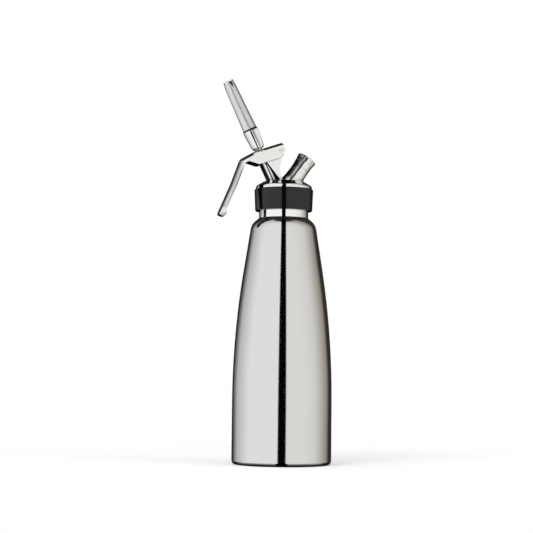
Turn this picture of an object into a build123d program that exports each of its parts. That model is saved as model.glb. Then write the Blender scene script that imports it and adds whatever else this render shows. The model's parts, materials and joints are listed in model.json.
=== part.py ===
"""Whipped cream dispenser: drawn bottle, screw-on head, squeeze lever, slanted valve and charger port.

Millimetres, +Z up. The origin is the centre of the bottle's base. The valve and the lever lean
towards -X and the charger port leans towards +X.
"""

import os
from math import atan2, cos, radians, sin, tan

from build123d import *

os.makedirs("parts", exist_ok=True)

# ---- clearances
RUN = 0.05  # radial clearance of a sliding or turning fit
SEAT = 0.02  # radial clearance of two pieces of one body
MOVE = 0.3  # room between pieces that move past each other

# ---- cutters
CUT = 1.0  # a bore's cutter runs this far past the metal
REACH = 100.0  # a cutter that takes all that lies beyond a plane
SOFT = 1 - cos(radians(45))  # where two facets stand in for a quarter round

# ---- bottle
BOTTLE_R = 45.0
BOTTLE_WALL = 0.8
BASE_EDGE_R = 3.0
BASE_DISH = 2.2
FOOT_IN_R = 31.0
SHOULDER_Z = 216.7
SHOULDER_W = 6.8  # the shoulder's corner stands this far out from the neck
SHOULDER_ROUND = 12.0
FLANK_DROP = 100.3  # from the shoulder down to where the straight side and the flank would meet
FLANK_RUN = 60.0  # the long round between them takes this much of each
NECK_R = 22.4
NECK_WALL = 1.4
NECK_RISE = 5.6
NECK_HEIGHT = 24.5

# ---- head casting
THREAD_ROOM = 0.4  # radial room for the thread between neck and skirt
SKIRT_WALL = 1.6
SKIRT_OVERLAP = 17.0  # how far the skirt reaches down the neck
GASKET_T = 2.4
GASKET_W = 4.0
FLANGE_DROP = 0.6  # underside of the flange below the gasket's seat
FLANGE_LIP = 1.2  # how far the flange stands out over the skirt
FLANGE_T = 2.9
FLANGE_ROUND = 2.2
CROWN_H = 8.2  # from the flange's underside to the top of the casting
CROWN_SLOPE_W = 7.2
CROWN_SOFT_H = 1.1
CEILING_UP = 2.8  # recess of the inner ceiling above the gasket's seat
BAND_LIP = 1.0  # the band wraps this far under the skirt
BAND_TOP_T = 2.4
BAND_BOTTOM_T = 1.6
BAND_EDGE = 0.6

# ---- valve, along its own axis from the point where it crosses the bottle's axis
VALVE_TILT = 25.5
VALVE_CROSS_DROP = 10.8  # the crossing point below the bottle's rim
STEM_R = 3.0
STEM_WALL = 1.1
TAIL_STEP = 0.8  # the tail that carries the plug is this much slimmer
TAIL_STAND = 0.4  # the tail stands out of the nut
TUBE_WALL = 1.4
SEAT_T = 14.0
SEAT_BOSS_W = 0.7
SEAT_BOSS_T = 5.0
CHAMBER_T = 7.0
GUIDE_T = 6.0
SPRING_ROOM_T = 16.75
CROSS_HOLE_R = 1.1
CROSS_HOLE_UP = 4.2  # above the seat
ORING_T = 1.0
PLUG_OVERLAP = 0.8  # the plug covers this much of the seat's face
PLUG_T = 2.8
PLUG_EDGE_W = 1.0
PLUG_EDGE_H = 1.2
PLUG_GAP = 0.15
PLUG_WASHER_T = 0.8
PLUG_WASHER_IN = 0.6  # the washer is this much smaller than the plug
PLUG_NUT_AF = 7.0
PLUG_NUT_T = 2.3
COLLAR_W = 1.7
COLLAR_T = 1.85
COLLAR_EDGE = 0.5
COLLAR_ROOM = 0.58  # collar above the tube's mouth at full squeeze
SPRING_WIRE_R = 0.4
SPRING_IN_ROOM = 0.35
SPRING_OUT_ROOM = 0.25
SPRING_TURNS = 6
SPRING_WASHER_T = 0.6

# ---- bracket on the casting that carries the lever's pin
PIN_R = 1.5
PIN_EDGE = 0.25
EYE_WALL = 1.15
CHEEK_SUNK = 0.2  # the cheeks bite this far into the valve tube's sides
CHEEK_T = 3.1
BRACKET_SUNK = 6.0  # depth of its foot in the crown, along the valve
BRACKET_FRONT = 5.0
BRACKET_NOSE = 1.0
NOSE_FALL = 0.01  # the top edge falls this much steeper than the squeezed plate
BRACKET_ROOT_OUT = 0.8
BRACKET_ROOT_UP = 3.0
BRACKET_WAIST_OUT = 3.0
BRACKET_WAIST_UP = 13.3
BRACKET_NECK_OUT = 1.2
BRACKET_NECK_DOWN = 4.4
SLOT_FLOOR_UP = 1.0  # floor between the cheeks above the crown

# ---- lever, in its own frame: origin at the pin, x along the plate, z out of the plate
PIVOT_ARM = 16.0  # from the valve's axis to the pin
PLATE_REST = 6.67  # the plate's slope against the valve's cross plane at rest
SQUEEZE = 11.6  # degrees of lever travel
PLATE_ROOM = 1.2  # plate above the bracket's eye
LEVER_CROWN_R = 20.0  # the back is crowned across its width
CROWN_SKIM = 0.05  # struck this far below the blank, so that no flat is left
LEVER_SHEET = 3.6  # thickness under the middle of the crown
HANDLE_SHEET = 2.5
TOE_SHEET = 1.2
SKIRT_SHEET = 1.4
TOE_ROOM = 0.35
TOE_DROP = 1.2
TOE_EDGE_R = 0.5
TOE_BEND_R = 1.3
PLATE_PAST_VALVE = 3.7
PLATE_BEND_R = 16.0
BEND_RUN = 17.6
BEND_ANGLE = 10.5
KNEE_R = 6.0
HANDLE_UPPER = 23.7
HANDLE_UPPER_ANGLE = 51.2
HANDLE_BEND_R = 60.0
HANDLE_LOWER = 30.6
HANDLE_LOWER_ANGLE = 48.1
HANDLE_HALF = 7.6
HANDLE_DEPTH = 5.4
HANDLE_END_DEPTH = 7.6
HANDLE_END_WALL = 1.2
HANDLE_END_BEVEL = 1.5
HANDLE_END_R = 2.2
HANDLE_HEEL = 3.5
HANDLE_HIP = 8.0
HIP_R = 3.0
HANDLE_CORNER_R = 6.8  # the handle's end seen along the plate
HANDLE_STRAIGHT = 12.0
HANDLE_END_LOW = 5.2
SIDE_BLEND_R = 20.0
SKIRT_DROP = 5.9  # lower edge of the head's skirts below the pin
SKIRT_FRONT = 3.0
SKIRT_BACK = 2.2
SKIRT_FRONT_R = 3.0
SKIRT_BACK_R = 2.5
SKIRT_TURN_OUT = 3.6
SKIRT_TURN_UP = 0.2
SKIRT_TURN_R = 1.2
ARMPIT_R = 2.0
STEM_SLOT_ROOM = 0.15
STEM_SLOT_RUN = 1.8
STEM_SLOT_OFF = 0.7

# ---- decorator tip, along the valve's axis
TIP_GAP = 0.7  # the tip's root above the plate
TIP_LENGTH = 67.7
TIP_ROOT_R = 4.7
TIP_HEEL_R = 5.95
TIP_HEEL_UP = 2.2
TIP_GRIP_R = 7.1
TIP_GRIP_UP = 17.8
TIP_SHOULDER_T = 3.4
TIP_NECK_R = 6.45
TIP_WAIST_R = 5.4
TIP_MOUTH_R = 4.8
TIP_MOUTH_WALL = 0.7
TIP_SOCKET_T = 8.0  # how far the stem reaches into the tip
TIP_SEAL_T = 1.5
PETAL_LENGTH = 8.0
PETAL_COUNT = 4
PETAL_NOTCH_HALF = 1.7
PETAL_TURN = 16.0
FLUTE_R = 7.0
FLUTE_DEPTH = 2.1
FLUTE_TURN = -60.0
FLUTE_COUNT = 2
FLUTE_OVER = 0.5

# ---- charger port, along its own axis from the point where it crosses the bottle's axis
PORT_TILT = 33.0
PORT_CROSS_DROP = 1.7  # the crossing point below the bottle's rim
PORT_FOOT_S = 6.0
PORT_FOOT_WALL = 1.5
PORT_FLARE_UP = 0.5
PORT_FLARE_W = 2.7
PORT_FLARE_T = 17.0
FLARE_LOW_UP = 0.3  # the flare's curve, as shares of its length and width
FLARE_LOW_OUT = 0.55
FLARE_MID_UP = 0.62
FLARE_MID_OUT = 0.2
PORT_WAIST_R = 8.1
PORT_WAIST_T = 4.5
PORT_STEP_W = 1.1
PORT_CORE_T = 8.5
CHARGER_NECK_R = 4.7
CHARGER_NECK_DEPTH = 12.5
HOLDER_R = 3.6
HOLDER_T = 6.0
DRIVER_SLOT = 1.0
GAS_HOLE_R = 1.2
NEEDLE_R = 1.1
NEEDLE_BORE_R = 0.45
NEEDLE_POINT = 2.0
NEEDLE_SEAT_ROOM = 0.6
NEEDLE_SEAT_T = 1.5
NEEDLE_STAND = 5.0  # the needle stands this far above the charger seal's seat
CHARGER_SEAL_T = 2.0
CHARGER_SEAL_ROOM = 1.2
FLAP_POCKET_R = 4.5
FLAP_POCKET_DEPTH = 3.2
FLAP_T = 0.8
FLAP_ROOM = 0.6
CAGE_WALL = 0.5
CAGE_FLOOR_T = 1.0
CAGE_POST_R = 0.9
CAGE_HOLE_R = 0.8
CAGE_HOLE_PLACE_R = 2.6
CAGE_HOLES = 4

# ---- protective cap on the charger port
CAP_END_T = 1.8
CAP_FLARE = 1.0
CAP_BELLY = 0.25
CAP_EDGE_R = 1.1
CAP_LIP_W = 2.2
CAP_DISH = 0.5
CAP_DISH_SLOPE_W = 0.6
CAP_LINER_T = 0.7

# ---- levels and radii of bottle and casting
SHOULDER_R = NECK_R + SHOULDER_W
NECK_IN_R = NECK_R - NECK_WALL
FLANK_Z = SHOULDER_Z - FLANK_DROP
NECK_Z = SHOULDER_Z + NECK_RISE
RIM_Z = NECK_Z + NECK_HEIGHT
BORE_R = NECK_R + THREAD_ROOM
SKIRT_R = BORE_R + SKIRT_WALL
SKIRT_BOTTOM_Z = RIM_Z - SKIRT_OVERLAP
SEAT_Z = RIM_Z + GASKET_T
FLANGE_Z = SEAT_Z - FLANGE_DROP
FLANGE_R = SKIRT_R + FLANGE_LIP
CROWN_Z = FLANGE_Z + CROWN_H
GASKET_IN_R = BORE_R - GASKET_W
CEILING_Z = SEAT_Z + CEILING_UP
VALVE_CROSS_Z = RIM_Z - VALVE_CROSS_DROP
PORT_CROSS_Z = RIM_Z - PORT_CROSS_DROP

# ---- radii round the stem, from the inside out
STEM_BORE_R = STEM_R - STEM_WALL
STEM_TAIL_R = STEM_R - TAIL_STEP
SPRING_R = STEM_R + SPRING_IN_ROOM + SPRING_WIRE_R
CHAMBER_R = SPRING_R + SPRING_WIRE_R + SPRING_OUT_ROOM
VALVE_TUBE_R = CHAMBER_R + TUBE_WALL
SEAT_BOSS_R = VALVE_TUBE_R + SEAT_BOSS_W
PLUG_R = CHAMBER_R + PLUG_OVERLAP
PLUG_WASHER_R = PLUG_R - PLUG_WASHER_IN
COLLAR_R = STEM_R + COLLAR_W
EYE_R = PIN_R + EYE_WALL
CHEEK_HALF_IN = VALVE_TUBE_R - CHEEK_SUNK
CHEEK_HALF_OUT = CHEEK_HALF_IN + CHEEK_T
LEVER_INNER_HALF = CHEEK_HALF_OUT + MOVE
TIP_BORE_R = TIP_MOUTH_R - TIP_MOUTH_WALL

# ---- levels along the valve
CHAMBER_TOP_T = SEAT_T + CHAMBER_T
GUIDE_TOP_T = CHAMBER_TOP_T + GUIDE_T
TUBE_TOP_T = GUIDE_TOP_T + SPRING_ROOM_T
CROSS_HOLE_T = SEAT_T + CROSS_HOLE_UP
CROWN_T = (CROWN_Z - VALVE_CROSS_Z) / cos(radians(VALVE_TILT))
BRACKET_FOOT_T = CROWN_T - BRACKET_SUNK
SLOT_FLOOR_T = CROWN_T + SLOT_FLOOR_UP
PLUG_TOP_T = SEAT_T - PLUG_GAP
PLUG_BOTTOM_T = PLUG_TOP_T - PLUG_T
NUT_TOP_T = PLUG_BOTTOM_T - PLUG_WASHER_T
NUT_BOTTOM_T = NUT_TOP_T - PLUG_NUT_T

PLATE_UNDER = EYE_R + PLATE_ROOM
PLATE_LEFT = PIVOT_ARM + PLATE_PAST_VALVE
TOE_X = EYE_R + TOE_ROOM + TOE_SHEET
REST_TAN = tan(radians(PLATE_REST))
SQUEEZED_TAN = tan(radians(SQUEEZE - PLATE_REST))
REST_RISE = PLATE_UNDER / cos(radians(PLATE_REST)) + PIVOT_ARM * REST_TAN
SQUEEZED_RISE = PLATE_UNDER / cos(radians(SQUEEZE - PLATE_REST)) - PIVOT_ARM * SQUEEZED_TAN
STEM_TRAVEL = REST_RISE - SQUEEZED_RISE
COLLAR_BOTTOM_T = TUBE_TOP_T + COLLAR_ROOM + STEM_TRAVEL
COLLAR_TOP_T = COLLAR_BOTTOM_T + COLLAR_T
UNDER_T = COLLAR_TOP_T + MOVE + COLLAR_R * REST_TAN
PIVOT_T = UNDER_T - REST_RISE
TIP_ROOT_T = UNDER_T + LEVER_SHEET / cos(radians(PLATE_REST)) + TIP_GAP
STEM_END_T = TIP_ROOT_T + TIP_SOCKET_T
TIP_SEAL_LOW_T = STEM_END_T - TIP_SEAL_T
SPRING_BOTTOM_T = GUIDE_TOP_T + SPRING_WASHER_T

# ---- radii and levels of the charger port
PORT_FLARE_S = PORT_FOOT_S + PORT_FLARE_UP
PORT_WAIST_S = PORT_FLARE_S + PORT_FLARE_T
PORT_STEP_S = PORT_WAIST_S + PORT_WAIST_T
PORT_END_S = PORT_STEP_S + PORT_CORE_T
PORT_FOOT_R = FLAP_POCKET_R + PORT_FOOT_WALL
PORT_CORE_R = PORT_WAIST_R - PORT_STEP_W
NEEDLE_SEAT_R = HOLDER_R - NEEDLE_SEAT_ROOM
HOLDER_SEAT_S = PORT_END_S - CHARGER_NECK_DEPTH
NEEDLE_FOOT_S = HOLDER_SEAT_S - HOLDER_T - NEEDLE_SEAT_T
FLAP_SEAT_S = PORT_FOOT_S + FLAP_POCKET_DEPTH
CAP_RIM_R = PORT_WAIST_R + CAP_FLARE
CAP_FOOT_S = PORT_STEP_S + MOVE
CAP_INNER_R = PORT_CORE_R + MOVE
CAP_ROOF_S = PORT_END_S + MOVE + CAP_LINER_T
CAP_END_S = CAP_ROOF_S + CAP_END_T

VALVE = Location((0, 0, VALVE_CROSS_Z), (0, -VALVE_TILT, 0))
PORT = Location((0, 0, PORT_CROSS_Z), (0, PORT_TILT, 0))
LEVER = VALVE * Location((PIVOT_ARM, 0, PIVOT_T), (0, PLATE_REST, 0))


def spun(*points):
    """Solid of revolution about Z from (radius, height) corners."""
    return revolve(Plane.XZ * make_face(Polyline(*points, close=True)), Axis.Z)


def rod(radius, low, high):
    return extrude(Plane.XY.offset(low) * Circle(radius), high - low)


def ring(outer, inner, low, high):
    return extrude(Plane.XY.offset(low) * (Circle(outer) - Circle(inner)), high - low)


def rims_over(shape, radius):
    """The circular edges of a shape that are larger than the radius."""
    return [edge for edge in shape.edges().filter_by(GeomType.CIRCLE) if edge.radius > radius]


def slab(face, half):
    """Side-view face, drawn in x and z, thickened by half to each side of y = 0."""
    return extrude(Plane.XZ * face, half, both=True)


def bottle_form(inset, neck_r, top_z):
    """Filled form of the bottle, inset all round; the neck has its own radius."""
    edge = BASE_EDGE_R - inset
    side = BOTTLE_R - inset
    shoulder = SHOULDER_R - inset
    form = make_face(
        Polyline(
            (0, BASE_DISH + inset), (FOOT_IN_R, inset), (side - edge, inset),
            (side - SOFT * edge, inset + SOFT * edge), (side, inset + edge), (side, FLANK_Z),
            (shoulder, SHOULDER_Z), (neck_r, NECK_Z), (neck_r, top_z), (0, top_z), close=True,
        )
    )
    flank_lean = atan2(side - shoulder, FLANK_DROP)
    for corner, radius in (
        ((side, FLANK_Z), FLANK_RUN / tan(flank_lean / 2)),
        ((shoulder, SHOULDER_Z), SHOULDER_ROUND),
    ):
        form = fillet(form.vertices().sort_by_distance(corner)[0], radius)
    return revolve(Plane.XZ * form, Axis.Z)


def bottle():
    return bottle_form(0, NECK_R, RIM_Z) - bottle_form(BOTTLE_WALL, NECK_IN_R, RIM_Z + CUT)


def head_gasket():
    return ring(BORE_R - SEAT, GASKET_IN_R, RIM_Z, SEAT_Z)


def crown():
    """Skirt, flange and domed top of the casting, with its inner ceiling."""
    flange_top = FLANGE_Z + FLANGE_T
    inside = Polyline(
        (0, CROWN_Z), (0, CEILING_Z), (GASKET_IN_R, CEILING_Z), (GASKET_IN_R, SEAT_Z),
        (BORE_R, SEAT_Z), (BORE_R, SKIRT_BOTTOM_Z), (SKIRT_R, SKIRT_BOTTOM_Z),
        (SKIRT_R, FLANGE_Z), (FLANGE_R, FLANGE_Z), (FLANGE_R, flange_top),
    )
    dome = Polyline(
        inside @ 1, (FLANGE_R - CROWN_SLOPE_W, CROWN_Z - CROWN_SOFT_H),
        (FLANGE_R - 2 * CROWN_SLOPE_W, CROWN_Z), (0, CROWN_Z),
    )
    form = make_face(Curve() + [inside, dome])
    form = fillet(form.vertices().sort_by_distance((FLANGE_R, flange_top))[0], FLANGE_ROUND)
    return revolve(Plane.XZ * form, Axis.Z)


def bracket():
    """Two cheeks that rise beside the valve tube and carry the lever's pin."""
    nose_t = PIVOT_T + EYE_R - (PIVOT_ARM + BRACKET_NOSE) * (SQUEEZED_TAN + NOSE_FALL)
    root = (VALVE_TUBE_R + BRACKET_ROOT_OUT, BRACKET_FOOT_T + BRACKET_ROOT_UP)
    waist = (VALVE_TUBE_R + BRACKET_WAIST_OUT, BRACKET_FOOT_T + BRACKET_WAIST_UP)
    neck = (PIVOT_ARM + BRACKET_NECK_OUT, PIVOT_T - BRACKET_NECK_DOWN)
    back = ThreePointArc(root, waist, neck)
    front = Polyline(
        neck, (PIVOT_ARM + EYE_R, PIVOT_T), (PIVOT_ARM, PIVOT_T + EYE_R), (-BRACKET_NOSE, nose_t),
        (BRACKET_FRONT, BRACKET_FOOT_T + BRACKET_ROOT_UP), (BRACKET_FRONT, BRACKET_FOOT_T),
        (root[0], BRACKET_FOOT_T), root,
    )
    eye = Location((PIVOT_ARM, PIVOT_T))
    outline = make_face(Curve() + [back, front]) + eye * Circle(EYE_R) - eye * Circle(PIN_R + SEAT)
    slot = Location((0, 0, SLOT_FLOOR_T + REACH / 2)) * Box(REACH, 2 * CHEEK_HALF_IN, REACH)
    return slab(outline, CHEEK_HALF_OUT) - slot


def valve_bores():
    oring_low = (CHAMBER_TOP_T + GUIDE_TOP_T - ORING_T) / 2 - SEAT
    chamber = rod(CHAMBER_R, SEAT_T - CUT, CHAMBER_TOP_T)
    guide = rod(STEM_R + RUN, CHAMBER_TOP_T - CUT, GUIDE_TOP_T + CUT)
    groove = rod(STEM_R + RUN + ORING_T + SEAT, oring_low, oring_low + ORING_T + 2 * SEAT)
    spring_room = rod(CHAMBER_R, GUIDE_TOP_T, TUBE_TOP_T + CUT)
    return chamber + guide + groove + spring_room


def port_form():
    """Flared stub of the charger port, with the core that the cap screws on."""
    low_s = PORT_FLARE_S + FLARE_LOW_UP * PORT_FLARE_T
    mid_s = PORT_FLARE_S + FLARE_MID_UP * PORT_FLARE_T
    return spun(
        (PORT_WAIST_R + PORT_FLARE_W, PORT_FLARE_S), (PORT_WAIST_R + FLARE_LOW_OUT * PORT_FLARE_W, low_s),
        (PORT_WAIST_R + FLARE_MID_OUT * PORT_FLARE_W, mid_s), (PORT_WAIST_R, PORT_WAIST_S),
        (PORT_WAIST_R, PORT_STEP_S), (PORT_CORE_R, PORT_STEP_S), (PORT_CORE_R, PORT_END_S),
        (0, PORT_END_S), (0, PORT_FOOT_S), (PORT_FOOT_R, PORT_FOOT_S), (PORT_FOOT_R, PORT_FLARE_S),
    )


def port_bores():
    pocket = rod(FLAP_POCKET_R, PORT_FOOT_S - CUT, FLAP_SEAT_S)
    gas = rod(GAS_HOLE_R, FLAP_SEAT_S - CUT, NEEDLE_FOOT_S + CUT)
    holder = rod(HOLDER_R, NEEDLE_FOOT_S, HOLDER_SEAT_S)
    neck = rod(CHARGER_NECK_R, HOLDER_SEAT_S, PORT_END_S + CUT)
    return pocket + gas + holder + neck


def head_body():
    tube = rod(VALVE_TUBE_R, SEAT_T, TUBE_TOP_T) + rod(SEAT_BOSS_R, SEAT_T, SEAT_T + SEAT_BOSS_T)
    underside = rod(REACH, CEILING_Z - REACH, CEILING_Z)
    flare_above = PORT * port_form() - (underside - PORT * rod(PORT_FOOT_R, 0, PORT_END_S))
    casting = crown() + VALVE * bracket() + VALVE * tube + flare_above
    return casting - VALVE * valve_bores() - PORT * port_bores()


def grip_band():
    top = FLANGE_Z - SEAT
    bottom = SKIRT_BOTTOM_Z - BAND_LIP
    band = spun(
        (SKIRT_R + SEAT, SKIRT_BOTTOM_Z - SEAT), (SKIRT_R + SEAT, top), (SKIRT_R + BAND_TOP_T, top),
        (SKIRT_R + BAND_BOTTOM_T, bottom), (BORE_R, bottom), (BORE_R, SKIRT_BOTTOM_Z - SEAT),
    )
    return chamfer(rims_over(band, SKIRT_R + BAND_BOTTOM_T / 2), BAND_EDGE)


def lever_pin():
    half = LEVER_INNER_HALF + SKIRT_SHEET
    pin = Rot(90, 0, 0) * Cylinder(PIN_R, 2 * half)
    return chamfer(pin.edges().filter_by(GeomType.CIRCLE), PIN_EDGE)


def turtle(start, steps):
    """Corners of a path that runs to the left and bends down by the given angles."""
    points = [start]
    for length, angle in steps:
        x, z = points[-1]
        points.append((x - length * cos(radians(angle)), z - length * sin(radians(angle))))
    return points


def inset_path(points, depth):
    """The same path moved to its lower side by depth, with mitred corners."""
    moved = []
    normals = []
    for (x0, z0), (x1, z1) in zip(points, points[1:]):
        run = ((x1 - x0) ** 2 + (z1 - z0) ** 2) ** 0.5
        normals.append((-(z1 - z0) / run, (x1 - x0) / run))
    for i, (x, z) in enumerate(points):
        a = normals[max(i - 1, 0)]
        b = normals[min(i, len(normals) - 1)]
        share = depth / (1 + a[0] * b[0] + a[1] * b[1])
        moved.append((x + (a[0] + b[0]) * share, z + (a[1] + b[1]) * share))
    return moved


def lever_outline(back):
    """Side view of the lever: back edge, handle end, open edge of the handle, skirts and toe."""
    shallow = inset_path(back, HANDLE_DEPTH)
    deep_end = inset_path(back, HANDLE_END_DEPTH)[4]
    along = (cos(radians(HANDLE_LOWER_ANGLE)), sin(radians(HANDLE_LOWER_ANGLE)))
    end = (deep_end[0] - HANDLE_END_BEVEL * along[1], deep_end[1] + HANDLE_END_BEVEL * along[0])
    heel = (deep_end[0] + HANDLE_HEEL * along[0], deep_end[1] + HANDLE_HEEL * along[1])
    hip = (shallow[4][0] + HANDLE_HIP * along[0], shallow[4][1] + HANDLE_HIP * along[1])
    turn = (shallow[2][0] + SKIRT_TURN_OUT, shallow[2][1] + SKIRT_TURN_UP)
    corners = [
        (back[0], TOE_BEND_R), (back[1], PLATE_BEND_R), (back[2], KNEE_R), (back[3], HANDLE_BEND_R),
        (back[4], HANDLE_END_R), (end, HANDLE_END_R), (heel, HANDLE_END_R), (hip, HIP_R),
        (shallow[3], HANDLE_BEND_R), (shallow[2], ARMPIT_R), (turn, SKIRT_TURN_R),
        ((-PLATE_LEFT - SKIRT_FRONT, -SKIRT_DROP), SKIRT_FRONT_R), ((-SKIRT_BACK, -SKIRT_DROP), SKIRT_BACK_R),
        ((TOE_X, -TOE_DROP), TOE_EDGE_R),
    ]
    return make_face(
        FilletPolyline(*[point for point, _ in corners], radius=[radius for _, radius in corners], close=True)
    )


def lever_hollow(back):
    """Side view of the room inside the channel, open at the bottom and closed at the handle's end."""
    along = (cos(radians(HANDLE_LOWER_ANGLE)), sin(radians(HANDLE_LOWER_ANGLE)))
    inner = inset_path(back, LEVER_SHEET)[:2] + inset_path(back, HANDLE_SHEET)[2:]
    inner[0] = (TOE_X - TOE_SHEET, PLATE_UNDER)
    inner[4] = (inner[4][0] + HANDLE_END_WALL * along[0], inner[4][1] + HANDLE_END_WALL * along[1])
    mouth = (inner[4][0] + REACH * along[1], inner[4][1] - REACH * along[0])
    return make_face(Polyline(*inner, mouth, (TOE_X - TOE_SHEET, mouth[1]), close=True))


def lever_front(back):
    """The lever seen along its plate: wide over the bracket, slimmer towards a round handle end."""
    half = LEVER_INNER_HALF + SKIRT_SHEET
    bottom = back[4][1] - HANDLE_END_LOW
    side = [
        ((half, REACH), HANDLE_END_R), ((half, -SKIRT_DROP - CUT), SIDE_BLEND_R),
        ((HANDLE_HALF, bottom + HANDLE_STRAIGHT), SIDE_BLEND_R), ((HANDLE_HALF, bottom), HANDLE_CORNER_R),
    ]
    corners = side + [((-x, z), radius) for (x, z), radius in reversed(side)]
    return make_face(
        FilletPolyline(*[point for point, _ in corners], radius=[radius for _, radius in corners], close=True)
    )


def lever_crown(back):
    """All that lies over the crowned back, from before the toe to past the handle's end."""
    (x, z), (x0, z0), (x1, z1) = back[0], back[-2], back[-1]
    stretch = 1 + REACH / 10 / ((x1 - x0) ** 2 + (z1 - z0) ** 2) ** 0.5
    past = (x0 + (x1 - x0) * stretch, z0 + (z1 - z0) * stretch)
    path = FilletPolyline(
        (x + REACH / 10, z), *back[1:-1], past, radius=[PLATE_BEND_R, KNEE_R, HANDLE_BEND_R]
    )
    half = LEVER_INNER_HALF + SKIRT_SHEET + CUT
    fall = LEVER_CROWN_R - (LEVER_CROWN_R**2 - half**2) ** 0.5
    arc = ThreePointArc((-half, -fall - CROWN_SKIM), (0, -CROWN_SKIM), (half, -fall - CROWN_SKIM))
    over = Polyline((half, -fall - CROWN_SKIM), (half, CUT), (-half, CUT), (-half, -fall - CROWN_SKIM))
    section = Location((x + REACH / 10, 0, z)) * (Plane.YZ * make_face(Curve() + [arc, over]))
    return sweep(section, path=Plane.XZ * path)


def lever():
    """Channel with a crowned back: a plate over the valve, skirts, a toe flange and a long handle."""
    back = turtle(
        (TOE_X, PLATE_UNDER + LEVER_SHEET),
        [
            (TOE_X + PLATE_LEFT, 0),
            (BEND_RUN, BEND_ANGLE),
            (HANDLE_UPPER, HANDLE_UPPER_ANGLE),
            (HANDLE_LOWER, HANDLE_LOWER_ANGLE),
        ],
    )
    front = lever_front(back)
    front_inner = offset(front, -SKIRT_SHEET)
    outer_form = slab(lever_outline(back), REACH) & extrude(Plane.YZ * front, REACH, both=True)
    inner_form = slab(lever_hollow(back), REACH) & extrude(Plane.YZ * front_inner, REACH, both=True)
    slot_width = 2 * (STEM_R + MOVE + STEM_SLOT_ROOM)
    slot = extrude(SlotCenterToCenter(STEM_SLOT_RUN, slot_width), REACH / 2, both=True)
    body = LEVER * (outer_form - inner_form - lever_crown(back)) - VALVE * Location((STEM_SLOT_OFF, 0, UNDER_T)) * slot
    return body - LEVER * Rot(90, 0, 0) * Cylinder(PIN_R + RUN, 2 * REACH)


def valve_stem():
    tail = NUT_BOTTOM_T - TAIL_STAND
    stem = rod(STEM_R, PLUG_TOP_T, STEM_END_T) + rod(STEM_TAIL_R, tail, PLUG_TOP_T)
    bore = rod(STEM_BORE_R, CROSS_HOLE_T - CROSS_HOLE_R, STEM_END_T + CUT)
    across = Location((0, 0, CROSS_HOLE_T)) * Rot(90, 0, 0) * Cylinder(CROSS_HOLE_R, 3 * STEM_R)
    return stem - bore - across


def stem_collar():
    collar = ring(COLLAR_R, STEM_R + SEAT, COLLAR_BOTTOM_T, COLLAR_TOP_T)
    return chamfer(rims_over(collar, STEM_R + COLLAR_W / 2), COLLAR_EDGE)


def valve_plug():
    return spun(
        (STEM_TAIL_R + SEAT, PLUG_BOTTOM_T), (PLUG_R - PLUG_EDGE_W, PLUG_BOTTOM_T),
        (PLUG_R, PLUG_BOTTOM_T + PLUG_EDGE_H), (PLUG_R, PLUG_TOP_T), (STEM_TAIL_R + SEAT, PLUG_TOP_T),
    )


def plug_washer():
    return ring(PLUG_WASHER_R, STEM_TAIL_R + SEAT, NUT_TOP_T, PLUG_BOTTOM_T)


def plug_nut():
    hexagon = RegularPolygon(PLUG_NUT_AF / 2, 6, major_radius=False) - Circle(STEM_TAIL_R + SEAT)
    return extrude(Plane.XY.offset(NUT_BOTTOM_T) * hexagon, PLUG_NUT_T)


def stem_oring():
    middle = (CHAMBER_TOP_T + GUIDE_TOP_T) / 2
    section = Plane.XZ * Location((STEM_R + RUN + ORING_T / 2, middle)) * RegularPolygon(ORING_T / 2, 6)
    return revolve(section, Axis.Z)


def spring_washer():
    return ring(CHAMBER_R - SEAT, STEM_R + RUN + SEAT, GUIDE_TOP_T, SPRING_BOTTOM_T)


def valve_spring():
    height = COLLAR_BOTTOM_T - SPRING_BOTTOM_T - 2 * SPRING_WIRE_R - 2 * SEAT
    path = Helix(height / SPRING_TURNS, height, SPRING_R)
    wire = Plane(origin=path @ 0, z_dir=path % 0) * RegularPolygon(SPRING_WIRE_R, 4)
    coil = sweep(wire, path, is_frenet=True)
    return Location((0, 0, SPRING_BOTTOM_T + SPRING_WIRE_R + SEAT)) * coil


def decorator_tip():
    """Tulip tip: grip section with milled flutes, long tapering tube, petals at the mouth."""
    root = TIP_ROOT_T
    grip_t = root + TIP_GRIP_UP
    mouth = root + TIP_LENGTH
    notch_t = mouth - PETAL_LENGTH
    tip = spun(
        (0, root), (TIP_ROOT_R, root), (TIP_HEEL_R, root + TIP_HEEL_UP), (TIP_GRIP_R, grip_t),
        (TIP_NECK_R, grip_t + TIP_SHOULDER_T), (TIP_WAIST_R, notch_t), (TIP_MOUTH_R, mouth), (0, mouth),
    )
    tip -= rod(TIP_BORE_R, TIP_SEAL_LOW_T, mouth + CUT)
    tip -= rod(STEM_R + RUN, root - CUT, TIP_SEAL_LOW_T + CUT)
    flute_axis = Location((TIP_GRIP_R - FLUTE_DEPTH + FLUTE_R, 0, 0))
    flute = flute_axis * rod(FLUTE_R, root - CUT, grip_t + FLUTE_OVER)
    for i in range(FLUTE_COUNT):
        tip -= Rot(0, 0, FLUTE_TURN + i * 360 / FLUTE_COUNT) * flute
    notch = Polyline(
        (0, notch_t), (PETAL_NOTCH_HALF, mouth), (PETAL_NOTCH_HALF, mouth + CUT),
        (-PETAL_NOTCH_HALF, mouth + CUT), (-PETAL_NOTCH_HALF, mouth), close=True,
    )
    blade = extrude(Plane.XZ * make_face(notch), 2 * TIP_GRIP_R)
    for i in range(PETAL_COUNT):
        tip -= Rot(0, 0, PETAL_TURN + i * 360 / PETAL_COUNT) * blade
    return tip


def tip_seal():
    return ring(TIP_BORE_R - SEAT, STEM_R + RUN, TIP_SEAL_LOW_T, STEM_END_T)


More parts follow.
